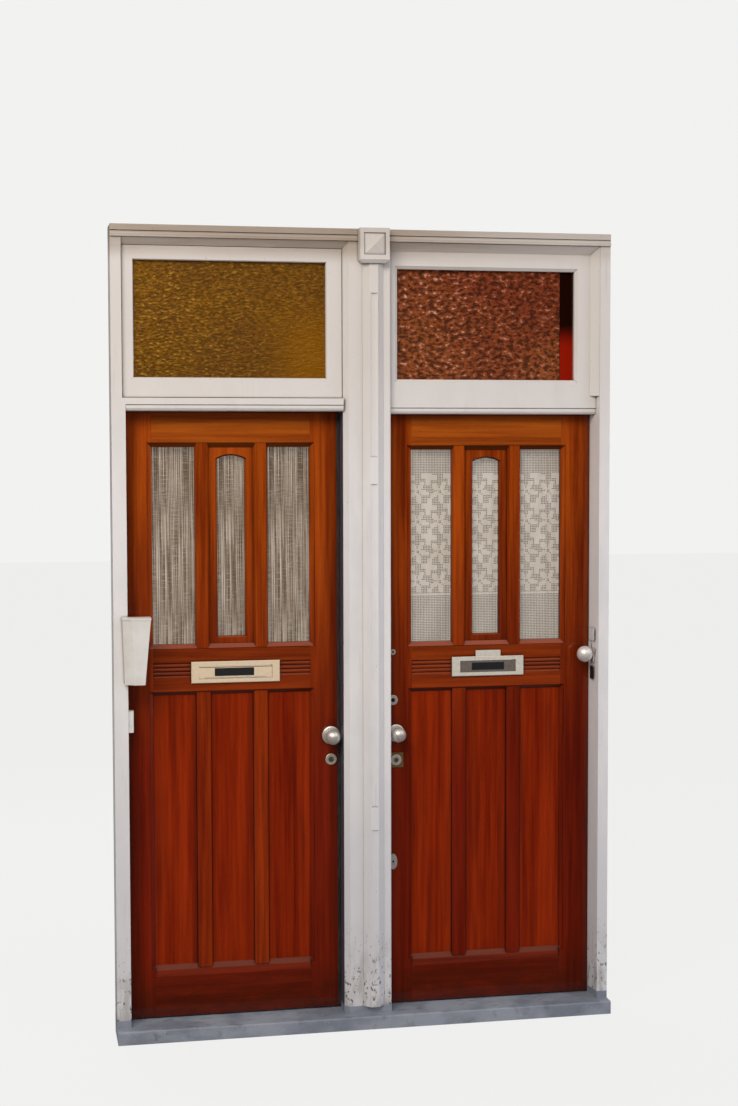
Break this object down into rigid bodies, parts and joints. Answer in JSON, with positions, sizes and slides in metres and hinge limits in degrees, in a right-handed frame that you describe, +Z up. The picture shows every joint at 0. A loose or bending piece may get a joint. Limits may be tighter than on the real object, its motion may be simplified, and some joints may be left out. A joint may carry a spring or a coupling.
{
  "type": "pair of front doors in one timber frame",
  "caption": "Pair of glazed panelled front doors in one white timber frame with fluted middle post, fanlights and stone step.",
  "frame": {"origin": "on the underside of the doorstep, under the middle of the middle post, in the plane of the frame's street face", "axes": "+Z up, +Y into the house, +X to the right seen from the street"},
  "size_m": [1.918, 0.281, 3.04],
  "materials": {
    "white_painted_timber": "painted gloss, aged",
    "varnished_hardwood": "varnished, glossy",
    "blue_stone": "sawn, worn",
    "clear_glass": "clear",
    "amber_cathedral_glass": "hammered",
    "red_pebbled_glass": "pebbled",
    "net_curtain": "open net",
    "satin_nickel": "satin",
    "hinge_steel": "zinc plated",
    "anodised_aluminium": "anodised, champagne",
    "white_plastic": "moulded"
  },
  "bodies": {
    "root": {"doorstep": "blue_stone", "left_jamb": "white_painted_timber", "right_jamb": "white_painted_timber", "middle_post": "white_painted_timber", "pilaster_shaft": "white_painted_timber", "pilaster_capital": "white_painted_timber", "head_rail": "white_painted_timber", "head_mouldings": "white_painted_timber", "left_transom": "white_painted_timber", "right_transom": "white_painted_timber", "right_fan_frame": "white_painted_timber", "right_fan_glass": "red_pebbled_glass", "strike_plates": "hinge_steel", "frame_hinge_plates": "hinge_steel", "jamb_box": "white_plastic", "bell_mount": "satin_nickel", "bell_dome": "satin_nickel", "push_housing": "white_plastic"},
    "fan_sash": {"fan_sash": "white_painted_timber", "left_fan_glass": "amber_cathedral_glass"},
    "bell_lever": {"bell_lever": "hinge_steel"},
    "push_button": {"push_button": "white_plastic"},
    "left_leaf": {"left_hinge_stile": "varnished_hardwood", "left_lock_stile": "varnished_hardwood", "left_top_rail": "varnished_hardwood", "left_lock_rail": "varnished_hardwood", "left_bottom_rail": "varnished_hardwood", "left_bars": "varnished_hardwood", "left_panels": "varnished_hardwood", "left_side_glass": "clear_glass", "left_glazing_beads": "varnished_hardwood", "left_letterplate": "anodised_aluminium", "left_door_furniture": "satin_nickel", "left_hinge_plates": "hinge_steel", "left_side_curtains": "net_curtain"},
    "left_hatch": {"left_hatch_sash": "varnished_hardwood", "left_hatch_glass": "clear_glass", "left_hatch_curtain": "net_curtain"},
    "left_letter_flap": {"left_letter_flap": "anodised_aluminium"},
    "left_key_turn": {"left_key_turn": "satin_nickel"},
    "left_lock_bolt": {"left_lock_bolt": "hinge_steel"},
    "right_leaf": {"right_hinge_stile": "varnished_hardwood", "right_lock_stile": "varnished_hardwood", "right_top_rail": "varnished_hardwood", "right_lock_rail": "varnished_hardwood", "right_bottom_rail": "varnished_hardwood", "right_bars": "varnished_hardwood", "right_panels": "varnished_hardwood", "right_side_glass": "clear_glass", "right_glazing_beads": "varnished_hardwood", "right_letterplate": "anodised_aluminium", "right_door_furniture": "satin_nickel", "right_hinge_plates": "hinge_steel", "right_side_curtains": "net_curtain"},
    "right_hatch": {"right_hatch_sash": "varnished_hardwood", "right_hatch_glass": "clear_glass", "right_hatch_curtain": "net_curtain"},
    "right_letter_flap": {"right_letter_flap": "anodised_aluminium"},
    "right_key_turn": {"right_key_turn": "satin_nickel"},
    "right_lock_bolt": {"right_lock_bolt": "hinge_steel"}
  },
  "joints": [
    {"name": "left_leaf_hinge", "type": "hinge", "parent": "root", "child": "left_leaf", "pos_m": [-0.9205, 0.1395, 0.345], "axis": [0, 0, 1], "range_deg": [0, 95]},
    {"name": "left_hatch_hinge", "type": "hinge", "parent": "left_leaf", "child": "left_hatch", "pos_m": [-0.597, 0.1378, 1.6], "axis": [0, 0, 1], "range_deg": [0, 90]},
    {"name": "left_letter_flap_swing", "type": "hinge", "parent": "left_leaf", "child": "left_letter_flap", "pos_m": [-0.495, 0.087, 1.3945], "axis": [1, 0, 0], "range_deg": [0, 70], "stiffness_Nm_per_rad": 0.05},
    {"name": "left_key_turning", "type": "hinge", "parent": "left_leaf", "child": "left_key_turn", "pos_m": [-0.128, 0.09, 1.023], "axis": [0, 1, 0], "range_deg": [0, 180]},
    {"name": "left_bolt_slide", "type": "slide", "parent": "left_leaf", "child": "left_lock_bolt", "axis": [1, 0, 0], "range_m": [0, 0.013]},
    {"name": "right_leaf_hinge", "type": "hinge", "parent": "root", "child": "right_leaf", "pos_m": [0.9205, 0.1395, 0.345], "axis": [0, 0, -1], "range_deg": [0, 95]},
    {"name": "right_hatch_hinge", "type": "hinge", "parent": "right_leaf", "child": "right_hatch", "pos_m": [0.581, 0.1378, 1.6], "axis": [0, 0, -1], "range_deg": [0, 90]},
    {"name": "right_letter_flap_swing", "type": "hinge", "parent": "right_leaf", "child": "right_letter_flap", "pos_m": [0.495, 0.087, 1.39], "axis": [1, 0, 0], "range_deg": [0, 70], "stiffness_Nm_per_rad": 0.05},
    {"name": "right_key_turning", "type": "hinge", "parent": "right_leaf", "child": "right_key_turn", "pos_m": [0.128, 0.09, 1.011], "axis": [0, 1, 0], "range_deg": [0, 180]},
    {"name": "right_bolt_slide", "type": "slide", "parent": "right_leaf", "child": "right_lock_bolt", "axis": [-1, 0, 0], "range_m": [0, 0.013]},
    {"name": "fan_sash_swing", "type": "hinge", "parent": "root", "child": "fan_sash", "pos_m": [-0.5, 0.026, 2.958], "axis": [-1, 0, 0], "range_deg": [0, 25]},
    {"name": "bell_lever_lift", "type": "hinge", "parent": "root", "child": "bell_lever", "pos_m": [0.88, 0.057, 1.413], "axis": [0, -1, 0], "range_deg": [0, 25], "stiffness_Nm_per_rad": 0.05},
    {"name": "push_button_press", "type": "slide", "parent": "root", "child": "push_button", "axis": [0, 1, 0], "range_m": [0, 0.002], "stiffness_N_per_m": 200}
  ],
  "couplings": [
    {"joint": "left_bolt_slide", "follows": "left_key_turning", "m_per_rad": 0.0041348},
    {"joint": "right_bolt_slide", "follows": "right_key_turning", "m_per_rad": 0.0041348}
  ]
}
